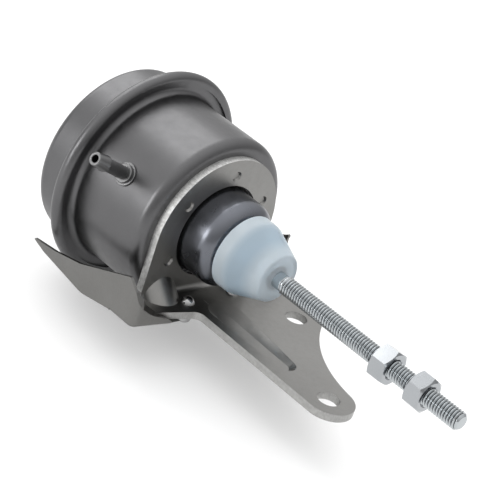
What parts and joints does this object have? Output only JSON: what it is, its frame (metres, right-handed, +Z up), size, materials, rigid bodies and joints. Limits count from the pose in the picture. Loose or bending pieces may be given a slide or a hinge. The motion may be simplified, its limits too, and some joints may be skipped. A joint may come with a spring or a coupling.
{
  "type": "wastegate actuator",
  "caption": "Vacuum canister with a spring-loaded pull rod, two lock nuts, a pressed mounting bracket with a two-hole leg and a riveted heat shield.",
  "frame": {"origin": "on the rod axis at the front face of the bracket plate", "axes": "+X along the pull rod towards its threaded tip, +Z up, away from the bracket's leg"},
  "size_m": [0.1533, 0.0778, 0.072],
  "materials": {
    "can_coat": "satin dark grey",
    "bracket_steel": "satin",
    "shield_steel": "satin",
    "zinc": "bright zinc",
    "port_coat": "satin dark grey",
    "cap_plastic": "translucent white",
    "inner_steel": "plain",
    "spring_steel": "dark",
    "rubber": "matt",
    "bronze": "sintered"
  },
  "bodies": {
    "canister": {"front_can": "can_coat", "rear_cover": "can_coat", "diaphragm": "rubber", "spring_seat": "inner_steel", "return_spring": "spring_steel", "guide_bush": "bronze", "rod_seal": "rubber", "seal_retainer": "inner_steel", "vacuum_nipple": "port_coat", "nipple_collar": "port_coat", "bracket": "bracket_steel", "heat_shield": "shield_steel", "near_rivet": "zinc", "far_rivet": "zinc"},
    "pull_rod": {"rod": "zinc", "piston": "inner_steel", "retainer_plate": "inner_steel", "rod_washer": "inner_steel", "dust_cap": "cap_plastic"},
    "inner_lock_nut": {"inner_nut": "zinc"},
    "outer_lock_nut": {"outer_nut": "zinc"}
  },
  "joints": [
    {"name": "rod_slide", "type": "slide", "parent": "canister", "child": "pull_rod", "axis": [1, 0, 0], "range_m": [0, 0.012], "stiffness_N_per_m": 2500, "springref_m": -0.012, "deforming": ["return_spring", "diaphragm"]},
    {"name": "inner_nut_turn", "type": "hinge", "parent": "pull_rod", "child": "inner_lock_nut", "pos_m": [0.07395, 0, 0], "axis": [1, 0, 0], "continuous": true},
    {"name": "outer_nut_turn", "type": "hinge", "parent": "pull_rod", "child": "outer_lock_nut", "pos_m": [0.08785, 0, 0], "axis": [1, 0, 0], "continuous": true}
  ]
}
